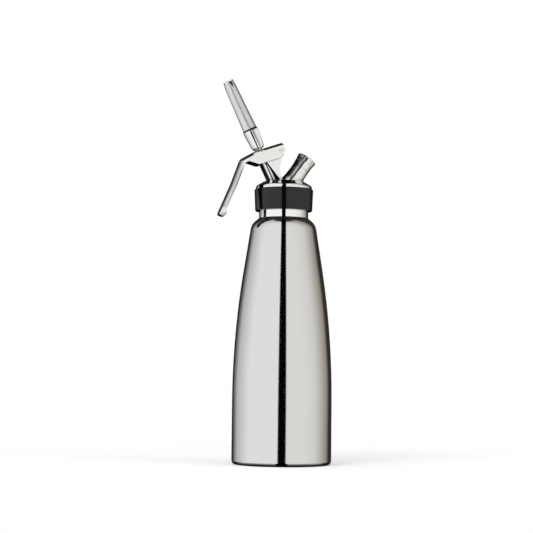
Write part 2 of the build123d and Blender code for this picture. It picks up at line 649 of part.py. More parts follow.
def piercing_pin():
    seat_top = NEEDLE_FOOT_S + NEEDLE_SEAT_T
    point = HOLDER_SEAT_S + NEEDLE_STAND
    return spun(
        (NEEDLE_BORE_R, NEEDLE_FOOT_S), (NEEDLE_SEAT_R, NEEDLE_FOOT_S), (NEEDLE_SEAT_R, seat_top),
        (NEEDLE_R, seat_top), (NEEDLE_R, point - NEEDLE_POINT), (NEEDLE_BORE_R, point),
    )


def pin_holder():
    holder = ring(HOLDER_R - SEAT, NEEDLE_R + SEAT, NEEDLE_FOOT_S + NEEDLE_SEAT_T, HOLDER_SEAT_S)
    driver_slot = Location((0, 0, HOLDER_SEAT_S)) * Box(2 * HOLDER_R, DRIVER_SLOT, 2 * DRIVER_SLOT)
    return holder - driver_slot


def charger_seal():
    inner = NEEDLE_R + CHARGER_SEAL_ROOM
    return ring(CHARGER_NECK_R - SEAT, inner, HOLDER_SEAT_S, HOLDER_SEAT_S + CHARGER_SEAL_T)


def check_valve():
    return rod(FLAP_POCKET_R - FLAP_ROOM, FLAP_SEAT_S - FLAP_T - SEAT, FLAP_SEAT_S - SEAT)


def check_cage():
    """Slotted cup that keeps the flap on its seat and lets the gas past."""
    floor_top = PORT_FOOT_S + CAGE_FLOOR_T
    cup = ring(FLAP_POCKET_R - SEAT, FLAP_POCKET_R - CAGE_WALL, PORT_FOOT_S, FLAP_SEAT_S - SEAT)
    cup += rod(FLAP_POCKET_R - SEAT, PORT_FOOT_S, floor_top)
    cup += rod(CAGE_POST_R, PORT_FOOT_S, FLAP_SEAT_S - FLAP_T - 2 * SEAT)
    hole = Location((CAGE_HOLE_PLACE_R, 0, 0)) * rod(CAGE_HOLE_R, PORT_FOOT_S - CUT, floor_top + CUT)
    for i in range(CAGE_HOLES):
        cup -= Rot(0, 0, i * 360 / CAGE_HOLES) * hole
    return cup


def port_cap():
    """Screw cap with a slightly flared rim and a shallow dish in its end."""
    mid_s = (CAP_FOOT_S + CAP_END_S) / 2
    dish_s = CAP_END_S - CAP_DISH
    lip_r = CAP_RIM_R - CAP_LIP_W
    return spun(
        (PORT_WAIST_R, CAP_FOOT_S), (PORT_WAIST_R + CAP_BELLY, mid_s), (CAP_RIM_R, CAP_END_S - CAP_EDGE_R),
        (CAP_RIM_R - SOFT * CAP_EDGE_R, CAP_END_S - SOFT * CAP_EDGE_R), (CAP_RIM_R - CAP_EDGE_R, CAP_END_S),
        (lip_r, CAP_END_S), (lip_r - CAP_DISH_SLOPE_W, dish_s), (0, dish_s), (0, CAP_ROOF_S),
        (CAP_INNER_R, CAP_ROOF_S), (CAP_INNER_R, CAP_FOOT_S),
    )


def cap_liner():
    return rod(CAP_INNER_R - SEAT, CAP_ROOF_S - CAP_LINER_T, CAP_ROOF_S)


parts = {
    "bottle": bottle(),
    "head_gasket": head_gasket(),
    "head_body": head_body(),
    "grip_band": grip_band(),
    "lever": lever(),
    "lever_pin": LEVER * lever_pin(),
    "valve_stem": VALVE * valve_stem(),
    "stem_collar": VALVE * stem_collar(),
    "valve_plug": VALVE * valve_plug(),
    "plug_washer": VALVE * plug_washer(),
    "plug_nut": VALVE * plug_nut(),
    "stem_oring": VALVE * stem_oring(),
    "spring_washer": VALVE * spring_washer(),
    "valve_spring": VALVE * valve_spring(),
    "decorator_tip": VALVE * decorator_tip(),
    "tip_seal": VALVE * tip_seal(),
    "piercing_pin": PORT * piercing_pin(),
    "pin_holder": PORT * pin_holder(),
    "charger_seal": PORT * charger_seal(),
    "check_valve": PORT * check_valve(),
    "check_cage": PORT * check_cage(),
    "port_cap": PORT * port_cap(),
    "cap_liner": PORT * cap_liner(),
}

for name, shape in parts.items():
    export_step(shape, f"parts/{name}.step")
    print(f"{name:16s} {len(shape.solids())} solid  {shape.volume:10.1f} mm3")
print(f"stem travel {STEM_TRAVEL:.3f} mm for {SQUEEZE} degrees")
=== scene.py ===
# %% [markdown]
# # A whipped cream dispenser, dressed for its picture
#
# The shapes come from the CAD model as they are: a drawn steel bottle, a cast head with a
# silicone band, a pressed lever, a slanted valve with its tip, and a capped charger port. This
# script gives each of them its real finish, adds the screw threads that CAD leaves plain, winds
# the valve's spring, and sets up the studio. Everything is in metres, with the origin under the
# middle of the bottle.

# %% Load the frame
import json
import math

import bmesh
import bpy
from mathutils import Matrix, Quaternion, Vector


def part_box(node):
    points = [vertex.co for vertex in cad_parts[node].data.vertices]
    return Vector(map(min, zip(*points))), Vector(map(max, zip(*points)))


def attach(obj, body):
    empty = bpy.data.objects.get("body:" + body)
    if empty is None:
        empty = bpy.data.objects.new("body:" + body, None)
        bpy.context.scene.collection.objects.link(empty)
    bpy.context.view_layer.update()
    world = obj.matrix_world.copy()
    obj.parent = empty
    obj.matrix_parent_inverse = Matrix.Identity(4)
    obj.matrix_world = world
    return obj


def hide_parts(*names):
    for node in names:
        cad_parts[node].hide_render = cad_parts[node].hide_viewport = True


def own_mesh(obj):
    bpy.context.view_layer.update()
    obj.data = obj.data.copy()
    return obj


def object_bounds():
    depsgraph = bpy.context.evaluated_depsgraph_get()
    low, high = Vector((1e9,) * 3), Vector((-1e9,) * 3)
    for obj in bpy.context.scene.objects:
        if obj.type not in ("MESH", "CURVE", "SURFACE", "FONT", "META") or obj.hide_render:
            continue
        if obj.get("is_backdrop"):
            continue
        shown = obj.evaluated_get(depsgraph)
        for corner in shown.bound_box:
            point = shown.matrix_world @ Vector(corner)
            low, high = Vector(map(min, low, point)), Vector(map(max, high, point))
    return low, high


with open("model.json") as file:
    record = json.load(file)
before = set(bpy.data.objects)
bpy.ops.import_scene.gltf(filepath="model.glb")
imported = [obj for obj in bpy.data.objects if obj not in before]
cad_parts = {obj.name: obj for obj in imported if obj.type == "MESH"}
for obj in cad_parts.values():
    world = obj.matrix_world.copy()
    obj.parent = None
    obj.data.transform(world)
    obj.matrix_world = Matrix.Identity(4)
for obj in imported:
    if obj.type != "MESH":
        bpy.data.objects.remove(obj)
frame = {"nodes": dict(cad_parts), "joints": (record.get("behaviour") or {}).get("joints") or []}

CAD_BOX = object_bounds()
print("nodes:", sorted(frame["nodes"]))
print("CAD box:", [[round(v, 4) for v in corner] for corner in CAD_BOX])

# %% [markdown]
# ## The camera
#
# A product picture is taken from far away with a long lens, so that a tall bottle keeps its
# proportions. The camera stands low, at a quarter of the bottle's height, and looks slightly up.
# Working out the lens from the width that the frame must cover is surer than turning the lens
# until it looks right.

# %% Place the camera
SENSOR = 0.036
EYE_HEIGHT = 0.085
EYE_DISTANCE = 1.40
EYE_TURN = math.radians(-9)  # the lens stands this far round towards the lever
FRAME_WIDTH = 0.4845  # what the frame covers at the bottle
FRAME_LEFT = 0.0151  # the frame's middle is this far left of the bottle's axis
FRAME_MID = 0.1784
ROLL = math.radians(0.6)

rightward = Vector((math.cos(EYE_TURN), math.sin(EYE_TURN), 0))
backward = Vector((math.sin(EYE_TURN), -math.cos(EYE_TURN), 0))
aim = Vector((0, 0, FRAME_MID)) - FRAME_LEFT * rightward
eye = Vector((0, 0, EYE_HEIGHT)) - FRAME_LEFT * rightward + EYE_DISTANCE * backward
look = aim - eye

camera_data = bpy.data.cameras.new("camera")
camera = bpy.data.objects.new("camera", camera_data)
bpy.context.scene.collection.objects.link(camera)
bpy.context.scene.camera = camera
camera_data.sensor_width = SENSOR * 1000
camera_data.lens = SENSOR * 1000 * look.length / FRAME_WIDTH
camera.location = eye
camera.rotation_mode = "QUATERNION"
camera.rotation_quaternion = look.to_track_quat("-Z", "Y") @ Quaternion((0, 0, 1), ROLL)
bpy.context.scene.view_settings.view_transform = "Standard"
print(f"lens {camera_data.lens:.1f} mm, {look.length:.3f} m from the bottle")

# %% [markdown]
# ## Small helpers
#
# Paint and metal colours are quoted as sRGB hex codes, but the renderer adds light in linear
# numbers, so one function turns the first into the second. Another adds a shader node with its
# settings and wires, because every material below is a handful of nodes. A third starts a
# material, and a fourth spreads a list of colours over a ramp.

# %% Helpers for colours and nodes


def linear(code):
    """An sRGB hex colour such as "C0C0C0" as linear red, green, blue and alpha."""
    parts = [int(code[i : i + 2], 16) / 255 for i in (0, 2, 4)]
    return [c / 12.92 if c <= 0.04045 else ((c + 0.055) / 1.055) ** 2.4 for c in parts] + [1.0]


def add(tree, kind, wires=None, **settings):
    """One node in a tree. Wires maps a socket to a value or to another node's output."""
    node = tree.nodes.new(kind)
    for name, value in settings.items():
        setattr(node, name, value)
    for name, value in (wires or {}).items():
        if isinstance(value, bpy.types.NodeSocket):
            tree.links.new(value, node.inputs[name])
        else:
            node.inputs[name].default_value = value
    return node


def material(name, colour, metallic, roughness, **more):
    """A material with one Principled shader, ready for its pattern."""
    made = bpy.data.materials.new(name)
    made.use_nodes = True
    made.diffuse_color = linear(colour)
    tree = made.node_tree
    shader = tree.nodes["Principled BSDF"]
    shader.inputs["Base Color"].default_value = linear(colour)
    shader.inputs["Metallic"].default_value = metallic
    shader.inputs["Roughness"].default_value = roughness
    for socket, value in more.items():
        shader.inputs[socket.replace("_", " ")].default_value = value
    return made, tree, shader


def spread_colours(ramp, stops):
    """Put a list of (position, colour) on a colour ramp, from its first stop to its last."""
    elements = ramp.color_ramp.elements
    for element, (position, code) in zip(elements, (stops[0], stops[-1])):
        element.position, element.color = position, linear(code)
    for position, code in stops[1:-1]:
        elements.new(position).color = linear(code)


print("mid grey in linear numbers:", round(linear("808080")[0], 3))

# %% [markdown]
# ## The studio
#
# Polished metal has almost no colour of its own: what we see is the room. In a studio the room
# is therefore built round the bottle, with a white sheet on each side, a narrow dark gap
# between them for the lens, and a dark room behind, which draws the edges. Here
# the world plays that room, but only for reflections: everything else gets a plain even light,
# and the camera sees plain white behind the bottle.
#
# Each sheet starts at the gap, curves over the bottle like a ceiling and ends somewhere behind
# it. One number tells how far back a direction lies, so each sheet is one ramp of colours over
# that number. The right sheet ends sooner, and its far end picks up the brown of the room.
#
# The sheets leave a dark opening straight overhead, which draws a line where a shoulder turns up
# to it. Looking down, they give way to the pale table that the bottle stands on.

# %% Build the room of light
LENS_GAP = 0.160  # half width of the dark gap, as a share of the way to either side
GAP_EDGE = 0.012
GAP_TAPER = 0.055  # the gap gets this much narrower towards the ceiling
LEAN = 0.55  # how soon the ceiling and the floor count as lying behind
SHEETS = {
    "left": [(-0.10, "FFFFFF"), (0.60, "CDCDCE"), (0.75, "959496"), (0.92, "302E31")],
    "right": [(-0.60, "F8F8F7"), (-0.10, "EBEBE9"), (0.45, "B5B1A9"), (0.60, "9F9A90"),
              (0.76, "3A352F")],
}
SIDE_BLEND = 0.1  # one sheet turns into the other over this much each side of the lens
TABLE = "CFCECC"
TABLE_FROM, TABLE_TO = -0.40, -0.60  # how steeply down a direction looks, 1 being straight
ROOF_FROM, ROOF_TO = 0.91, 0.97  # and how steeply up
ROOF_LEFT = 0.03  # light that is left in the opening overhead

world = bpy.data.worlds.new("studio")
bpy.context.scene.world = world
world.use_nodes = True
world.cycles.sampling_method = "NONE"
room = world.node_tree
room.nodes.clear()
direction = add(room, "ShaderNodeTexCoord").outputs["Generated"]
turned = add(room, "ShaderNodeMapping", {"Vector": direction, "Rotation": (0, 0, -EYE_TURN)})
axes = add(room, "ShaderNodeSeparateXYZ", {"Vector": turned.outputs[0]})
aside = add(room, "ShaderNodeMath", {0: axes.outputs["X"]}, operation="ABSOLUTE")
tapered = add(room, "ShaderNodeMath", {
    0: axes.outputs["Z"], 1: GAP_TAPER, 2: aside.outputs[0],
}, operation="MULTIPLY_ADD")
past_gap = add(room, "ShaderNodeMapRange", {
    "Value": tapered.outputs[0], "From Min": LENS_GAP - GAP_EDGE, "From Max": LENS_GAP + GAP_EDGE,
})
over_table = add(room, "ShaderNodeMapRange", {
    "Value": axes.outputs["Z"], "From Min": TABLE_TO, "From Max": TABLE_FROM,
}, interpolation_type="SMOOTHSTEP")
under_roof = add(room, "ShaderNodeMapRange", {
    "Value": axes.outputs["Z"], "From Min": ROOF_TO, "From Max": ROOF_FROM,
    "To Min": ROOF_LEFT,
}, interpolation_type="SMOOTHSTEP")
bright = add(room, "ShaderNodeMath", {
    0: past_gap.outputs["Result"], 1: under_roof.outputs["Result"],
}, operation="MULTIPLY")
steep = add(room, "ShaderNodeMath", {0: axes.outputs["Z"]}, operation="ABSOLUTE")
back = add(room, "ShaderNodeMath", {
    0: steep.outputs[0], 1: LEAN, 2: axes.outputs["Y"],
}, operation="MULTIPLY_ADD")
depth = add(room, "ShaderNodeMapRange", {"Value": back.outputs[0], "From Min": -1.0})

ramps = {}
for side, stops in SHEETS.items():
    ramp = add(room, "ShaderNodeValToRGB", {"Fac": depth.outputs["Result"]})
    spread_colours(ramp, [((place + 1) / 2, code) for place, code in stops])
    ramps[side] = ramp.outputs["Color"]
    print(side, "sheet:", len(stops), "stops")
which = add(room, "ShaderNodeMapRange", {
    "Value": axes.outputs["X"], "From Min": -SIDE_BLEND, "From Max": SIDE_BLEND,
}, interpolation_type="SMOOTHSTEP")
sheets = add(room, "ShaderNodeMix", {
    0: which.outputs["Result"], 6: ramps["left"], 7: ramps["right"],
}, data_type="RGBA")
with_table = add(room, "ShaderNodeMix", {
    0: over_table.outputs["Result"], 6: linear(TABLE), 7: sheets.outputs[2],
}, data_type="RGBA")

# %% Send each kind of ray to its own light
EVEN_LIGHT = 0.8  # what rubber and plastic get from all sides

ray = add(room, "ShaderNodeLightPath")
even = add(room, "ShaderNodeBackground", {"Color": linear("FFFFFF"), "Strength": EVEN_LIGHT})
metal = add(room, "ShaderNodeBackground", {
    "Color": with_table.outputs[2], "Strength": bright.outputs[0],
})
white = add(room, "ShaderNodeBackground", {"Color": linear("FFFFFF"), "Strength": 1.0})
lit = add(room, "ShaderNodeMixShader", {
    0: ray.outputs["Is Glossy Ray"], 1: even.outputs[0], 2: metal.outputs[0],
})
straight = add(room, "ShaderNodeMath", {
    0: ray.outputs["Is Camera Ray"], 1: ray.outputs["Is Transmission Ray"],
}, operation="MAXIMUM")
shown = add(room, "ShaderNodeMixShader", {
    0: straight.outputs[0], 1: lit.outputs[0], 2: white.outputs[0],
})
add(room, "ShaderNodeOutputWorld", {"Surface": shown.outputs[0]})
print("world nodes:", len(room.nodes))

# %% [markdown]
# ## The floor
#
# A disc of pale card carries the shadow. It fades out before its rim, so no horizon
# cuts across the picture behind the bottle.

# %% Lay the floor
FLOOR_R = 0.55
FLOOR_Z = -0.0002  # just under the bottle
FADE_FROM, FADE_TO = 0.16, 0.42
CARD_GLOW = 0.20  # lifts the card to the white behind it, for the camera alone

mesh = bpy.data.meshes.new("floor")
form = bmesh.new()
bmesh.ops.create_circle(form, cap_ends=True, segments=96, radius=FLOOR_R)
form.to_mesh(mesh)
form.free()
floor = bpy.data.objects.new("floor", mesh)
bpy.context.scene.collection.objects.link(floor)
floor.location.z = FLOOR_Z
floor.visible_glossy = False  # steel would show the card's fading rim
floor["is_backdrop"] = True

card, tree, shader = material("pale_studio_card", "F2F2F0", 0.0, 0.7)
spot = add(tree, "ShaderNodeTexCoord").outputs["Object"]
far = add(tree, "ShaderNodeVectorMath", {0: spot}, operation="LENGTH")
fade = add(tree, "ShaderNodeMapRange", {
    "Value": far.outputs["Value"], "From Min": FADE_FROM, "From Max": FADE_TO,
}, interpolation_type="SMOOTHSTEP")
ray = add(tree, "ShaderNodeLightPath")
glow = add(tree, "ShaderNodeEmission", {"Color": linear("FFFFFF"), "Strength": CARD_GLOW})
dark = add(tree, "ShaderNodeEmission", {"Color": linear("000000"), "Strength": 0.0})
lift = add(tree, "ShaderNodeMixShader", {
    0: ray.outputs["Is Camera Ray"], 1: dark.outputs[0], 2: glow.outputs[0],
})
surface = add(tree, "ShaderNodeAddShader", {0: shader.outputs[0], 1: lift.outputs[0]})
clear = add(tree, "ShaderNodeBsdfTransparent")
faded = add(tree, "ShaderNodeMixShader", {
    0: fade.outputs["Result"], 1: surface.outputs[0], 2: clear.outputs[0],
})
tree.links.new(faded.outputs[0], tree.nodes["Material Output"].inputs["Surface"])
mesh.materials.append(card)
print("floor radius", FLOOR_R, "m")

# %% [markdown]
# ## Soft lamps
#
# The even world shows every surface but models none. Two big soft lamps, one on each side above
# the lens, give rubber and plastic their light side. They are hidden from reflections, because a
# lamp's square would show in the steel.

# %% Hang the lamps
LAMP_AIM = Vector((0, 0, 0.15))
LAMPS = {  # place, size, watts
    "key": (Vector((-0.9, -1.0, 1.1)), 0.8, 9.0),
    "fill": (Vector((1.1, -0.8, 0.7)), 0.9, 4.0),
}
for name, (place, size, watts) in LAMPS.items():
    data = bpy.data.lights.new(name, "AREA")
    data.size = size
    data.energy = watts
    lamp = bpy.data.objects.new(name, data)
    bpy.context.scene.collection.objects.link(lamp)
    lamp.location = place
    lamp.rotation_mode = "QUATERNION"
    lamp.rotation_quaternion = (LAMP_AIM - place).to_track_quat("-Z", "Y")
    lamp.visible_glossy = False
    print(name, "at", tuple(place), watts, "W")

# %% [markdown]
# ## Satin steel of the bottle
#
# The bottle is deep-drawn from stainless sheet and polished while it turns. The wheel leaves
# rings finer than a hair, so light spreads up and down but stays sharp sideways: the dark gap of
# the studio keeps its crisp edge while the grey panels look silky. That is what anisotropy is
# for. A tangent that runs round the bottle, turned by a quarter, points the spread upwards.
#
# Stretched noise read along the bottle's axis gives the rings. Real ones are about 0.1 mm apart,
# too fine for a picture, so they are drawn at 1.5 mm and kept very faint. The last two
# millimetres above the rest ring are painted dark, as painted shade. The neck, which the head's
# skirt hides but for its foot, is painted lighter than the rest, as painted light.

# %% Satin stainless steel
# The second colour is painted shade along the base, the third painted light on the neck.
SATIN, REST_SHADE, NECK_LIGHT = "DDDCDA", "363433", "F4F4F2"
NOISE_SPAN = (0.3, 0.7)  # noise seldom leaves this span, so it is stretched from here
RING_MM = 1.5
RING_LONG_MM = 250.0  # one mark is far longer than the bottle is wide
SMEAR_MM = 38.5  # broad smears where the cloth dwelt
SMEAR_SHARE = 0.35
GROOVE_STRENGTH, GROOVE_DEPTH = 0.03, 0.0002
SATIN_DULL = (0.10, 0.13)
REST_RING_MM = 2.3
REST_FADE = 0.3  # as a share of the ring's height
NECK_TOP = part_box("bottle")[1][2]
NECK_FROM = NECK_TOP - 0.0250  # the shoulder ends and the thread's neck begins
NECK_FADE = 0.0005
NECK_DULL = 0.10

satin, tree, shader = material(
    "satin_turned_stainless", SATIN, 1.0, 0.2, Anisotropic=0.92, Anisotropic_Rotation=0.25
)
place = add(tree, "ShaderNodeTexCoord").outputs["Object"]
squeezed = add(tree, "ShaderNodeMapping", {
    "Vector": place, "Scale": (1000 / RING_LONG_MM, 1000 / RING_LONG_MM, 1000 / RING_MM),
})
rings = add(tree, "ShaderNodeTexNoise", {
    "Vector": squeezed.outputs[0], "Scale": 1.0, "Detail": 3.0, "Roughness": 0.6,
})
smears = add(tree, "ShaderNodeTexNoise", {
    "Vector": place, "Scale": 1000 / SMEAR_MM, "Detail": 2.0,
})
both = add(tree, "ShaderNodeMix", {
    0: SMEAR_SHARE, 2: rings.outputs["Fac"], 3: smears.outputs["Fac"],
}, data_type="FLOAT")
worn = add(tree, "ShaderNodeMapRange", {
    "Value": both.outputs[0], "From Min": NOISE_SPAN[0], "From Max": NOISE_SPAN[1],
    "To Min": SATIN_DULL[0], "To Max": SATIN_DULL[1],
})
grooves = add(tree, "ShaderNodeBump", {
    "Height": rings.outputs["Fac"], "Strength": GROOVE_STRENGTH, "Distance": GROOVE_DEPTH,
})
around = add(tree, "ShaderNodeTangent", direction_type="RADIAL", axis="Z")
height = add(tree, "ShaderNodeSeparateXYZ", {"Vector": place}).outputs["Z"]
# Painted shade: the last millimetres above the rest ring are coloured dark.
base_shade = add(tree, "ShaderNodeMapRange", {
    "Value": height, "From Min": REST_RING_MM * (1 + REST_FADE) / 1000,
    "From Max": REST_RING_MM * (1 - REST_FADE) / 1000,
})
tone = add(tree, "ShaderNodeMix", {
    0: base_shade.outputs["Result"], 6: linear(SATIN), 7: linear(REST_SHADE),
}, data_type="RGBA")
# Painted light: the neck is coloured lighter than the rest of the bottle.
neck = add(tree, "ShaderNodeMapRange", {
    "Value": height, "From Min": NECK_FROM - NECK_FADE, "From Max": NECK_FROM + NECK_FADE,
})
necked = add(tree, "ShaderNodeMix", {
    0: neck.outputs["Result"], 6: tone.outputs[2], 7: linear(NECK_LIGHT),
}, data_type="RGBA")
smooth = add(tree, "ShaderNodeMix", {
    0: neck.outputs["Result"], 2: worn.outputs["Result"], 3: NECK_DULL,
}, data_type="FLOAT")
tree.links.new(necked.outputs[2], shader.inputs["Base Color"])
tree.links.new(smooth.outputs[0], shader.inputs["Roughness"])
tree.links.new(grooves.outputs[0], shader.inputs["Normal"])
tree.links.new(around.outputs[0], shader.inputs["Tangent"])
print("satin rings", RING_MM, "mm apart")

# %% [markdown]
# ## Buffed steel of the head
#
# The head is cast and then buffed on a cloth wheel until it mirrors the room. Buffing leaves a
# faint haze and soft hollows that are wider than they are deep, which is why reflections in a
# casting wander a little while those in glass do not. The corners between the valve tube, the
# bracket and the port are painted dark, as painted shade.
#
# Ambient occlusion measures how closed in a spot is, and so tells where the painted shade goes.

# %% Buffed stainless steel
# The second colour is painted shade for the corners.
BUFFED, CORNER_SHADE = "EDEDEB", "242323"
BUFFED_DULL = (0.035, 0.075)
HAZE_MM = 9.0
HAZE_SPAN = (0.35, 0.7)
HOLLOW_STRENGTH, HOLLOW_DEPTH = 0.05, 0.0004
CORNER_MM = 11.0  # a corner is judged over this distance
CORNER_SHADE_AO = (0.40, 0.74)  # painted shade is full below the first ambient occlusion value and gone above the second


def buffed_steel(name):
    """Mirror steel with haze and painted shade in its corners. Gives back its colour and
    roughness too.
    """
    made, tree, shader = material(name, BUFFED, 1.0, 0.05)
    place = add(tree, "ShaderNodeTexCoord").outputs["Object"]
    haze = add(tree, "ShaderNodeTexNoise", {
        "Vector": place, "Scale": 1000 / HAZE_MM, "Detail": 4.0, "Roughness": 0.55,
    })
    dull = add(tree, "ShaderNodeMapRange", {
        "Value": haze.outputs["Fac"], "From Min": HAZE_SPAN[0], "From Max": HAZE_SPAN[1],
        "To Min": BUFFED_DULL[0], "To Max": BUFFED_DULL[1],
    })
    hollows = add(tree, "ShaderNodeBump", {
        "Height": haze.outputs["Fac"], "Strength": HOLLOW_STRENGTH, "Distance": HOLLOW_DEPTH,
    })
    # Painted shade: spots that ambient occlusion finds closed in are coloured dark.
    corner = add(tree, "ShaderNodeAmbientOcclusion", {"Distance": CORNER_MM / 1000}, samples=8)
    corner_unshaded = add(tree, "ShaderNodeMapRange", {
        "Value": corner.outputs["AO"], "From Min": CORNER_SHADE_AO[0], "From Max": CORNER_SHADE_AO[1],
    }, interpolation_type="SMOOTHSTEP")
    tone = add(tree, "ShaderNodeMix", {
        0: corner_unshaded.outputs["Result"], 6: linear(CORNER_SHADE), 7: linear(BUFFED),
    }, data_type="RGBA")
    tree.links.new(tone.outputs[2], shader.inputs["Base Color"])
    tree.links.new(dull.outputs["Result"], shader.inputs["Roughness"])
    tree.links.new(hollows.outputs[0], shader.inputs["Normal"])
    return made, tree, shader, tone.outputs[2], dull.outputs["Result"]


buffed, tree, shader, tone, dull = buffed_steel("buffed_cast_stainless")
print("buffing hollows", HAZE_MM, "mm across")

# %% [markdown]
# ## The port's side, painted dark
#
# The side of the port that faces the bracket is painted dark, as a painted reflection of the
# bracket and the lever, broken into streaks that run up the port.
#
# The valve and the port both slant, each along its own axis. The joints that the tip and the cap
# are pulled off along give the two directions, and a small piece on each axis gives a point of
# it. Once the coordinates are laid along an axis, they tell how far a spot is from it, which
# keeps the streaks off the rest of the head. The valve's axis serves the tip's finish as well.

# %% The axes of the valve and the port
joints = {joint["name"]: joint for joint in frame["joints"]}
TIP_AXIS = Vector(joints["tip_pull"]["axis"])
TIP_MID = (Vector(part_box("stem_collar")[0]) + Vector(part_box("stem_collar")[1])) / 2
TIP_LEAN = math.atan2(TIP_AXIS.x, TIP_AXIS.z)
PORT_AXIS = Vector(joints["cap_pull"]["axis"])
PORT_MID = (Vector(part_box("cap_liner")[0]) + Vector(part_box("cap_liner")[1])) / 2
PORT_LEAN = math.atan2(PORT_AXIS.x, PORT_AXIS.z)


def along_axis(tree, place, middle, lean):
    """A spot's coordinates laid along a slanted axis, and how far it is from that axis."""
    laid = add(tree, "ShaderNodeMapping", {
        "Vector": place, "Location": middle, "Rotation": (0, lean, 0),
    }, vector_type="TEXTURE")
    flat = add(tree, "ShaderNodeVectorMath", {0: laid.outputs[0], 1: (1, 1, 0)},
               operation="MULTIPLY")
    off = add(tree, "ShaderNodeVectorMath", {0: flat.outputs[0]}, operation="LENGTH")
    return laid.outputs[0], off.outputs["Value"]


print(f"valve leans {math.degrees(TIP_LEAN):.1f} degrees, port {math.degrees(PORT_LEAN):.1f}")

# %% Painted dark reflection in streaks up one side of the port
PORT_R = (0.0115, 0.0130)  # the port is inside the first, the rest outside the second
PORT_REACH = -0.024  # the streaks start this far below the cap's liner
PORT_FADE = 0.002
STREAK_MM = 2.4
STREAK_LONG_MM = 16.7
STREAK_SPAN = (0.42, 0.66)  # of the noise, from a dark streak to a pale one
STREAK_SWAY = 0.5  # how much the streaks break up the edge of the painted dark side
# Painted reflection: where and in which tones the port's side facing the bracket is painted dark.
PORT_SHADE_EDGE = (0.30, 0.50)
PORT_SHADE_TONES = ("3C3B3B", "B4B3B2")
PORT_SHADE_DULL = 0.18

coordinates = add(tree, "ShaderNodeTexCoord")
place, facing = coordinates.outputs["Object"], coordinates.outputs["Normal"]
own, off_axis = along_axis(tree, place, PORT_MID, PORT_LEAN)
level = add(tree, "ShaderNodeSeparateXYZ", {"Vector": own}).outputs["Z"]
on_port = add(tree, "ShaderNodeMapRange", {
    "Value": off_axis, "From Min": PORT_R[1], "From Max": PORT_R[0],
})
above_crown = add(tree, "ShaderNodeMapRange", {
    "Value": level, "From Min": PORT_REACH - PORT_FADE, "From Max": PORT_REACH + PORT_FADE,
})
streaks_at = add(tree, "ShaderNodeVectorMath", {
    0: own, 1: (1000 / STREAK_MM, 1000 / STREAK_MM, 1000 / STREAK_LONG_MM),
}, operation="MULTIPLY")
streaks = add(tree, "ShaderNodeTexNoise", {
    "Vector": streaks_at.outputs[0], "Scale": 1.0, "Detail": 3.0, "Roughness": 0.6,
})
turned_away = add(tree, "ShaderNodeVectorMath", {
    0: facing, 1: (-math.cos(PORT_LEAN), 0, math.sin(PORT_LEAN)),
}, operation="DOT_PRODUCT")
wandering = add(tree, "ShaderNodeMath", {
    0: streaks.outputs["Fac"], 1: STREAK_SWAY, 2: turned_away.outputs["Value"],
}, operation="MULTIPLY_ADD")
mould_skin_or_port_shade = add(tree, "ShaderNodeMapRange", {
    "Value": wandering.outputs[0], "From Min": PORT_SHADE_EDGE[0], "From Max": PORT_SHADE_EDGE[1],
})
for limit in (on_port, above_crown):
    mould_skin_or_port_shade = add(tree, "ShaderNodeMath", {
        0: mould_skin_or_port_shade.outputs[0], 1: limit.outputs[0],
    }, operation="MULTIPLY")
streak_tone = add(tree, "ShaderNodeMapRange", {
    "Value": streaks.outputs["Fac"], "From Min": STREAK_SPAN[0], "From Max": STREAK_SPAN[1],
})

# %% Painted shade on the flanks of the valve tube
TUBE_R = 0.0095  # nothing but the tube and the bracket's flat sides lies this near its axis
TUBE_FADE = 0.0005
FLANK_EDGE = (0.42, 0.62)  # 1 faces straight to the side
# Painted shade: the tube's flanks are coloured dark.
FLANK_SHADE = "343333"

off_tube = along_axis(tree, place, TIP_MID, TIP_LEAN)[1]
on_tube = add(tree, "ShaderNodeMapRange", {
    "Value": off_tube, "From Min": TUBE_R + TUBE_FADE, "From Max": TUBE_R - TUBE_FADE,
})
flank = add(tree, "ShaderNodeVectorMath", {
    0: facing, 1: (math.cos(TIP_LEAN), 0, -math.sin(TIP_LEAN)),
}, operation="DOT_PRODUCT")
either = add(tree, "ShaderNodeMath", {0: flank.outputs["Value"]}, operation="ABSOLUTE")
on_flank = add(tree, "ShaderNodeMapRange", {
    "Value": either.outputs[0], "From Min": FLANK_EDGE[0], "From Max": FLANK_EDGE[1],
}, interpolation_type="SMOOTHSTEP")
flanks = add(tree, "ShaderNodeMath", {
    0: on_flank.outputs["Result"], 1: on_tube.outputs["Result"],
}, operation="MULTIPLY")
# Painted shade is mixed over the flanks of the tube.
with_flanks = add(tree, "ShaderNodeMix", {
    0: flanks.outputs[0], 6: tone, 7: linear(FLANK_SHADE),
}, data_type="RGBA")
# Painted reflection: the dark tones are mixed over the side of the port that faces the bracket.
port_shade_colour = add(tree, "ShaderNodeMix", {
    0: streak_tone.outputs["Result"], 6: linear(PORT_SHADE_TONES[0]), 7: linear(PORT_SHADE_TONES[1]),
}, data_type="RGBA")
with_port_shade = add(tree, "ShaderNodeMix", {
    0: mould_skin_or_port_shade.outputs[0], 6: with_flanks.outputs[2], 7: port_shade_colour.outputs[2],
}, data_type="RGBA")
port_shade_dull = add(tree, "ShaderNodeMix", {
    0: mould_skin_or_port_shade.outputs[0], 2: dull, 3: PORT_SHADE_DULL,
}, data_type="FLOAT")
tree.links.new(with_port_shade.outputs[2], shader.inputs["Base Color"])
tree.links.new(port_shade_dull.outputs[0], shader.inputs["Roughness"])
print("port streaks", STREAK_MM, "mm apart")
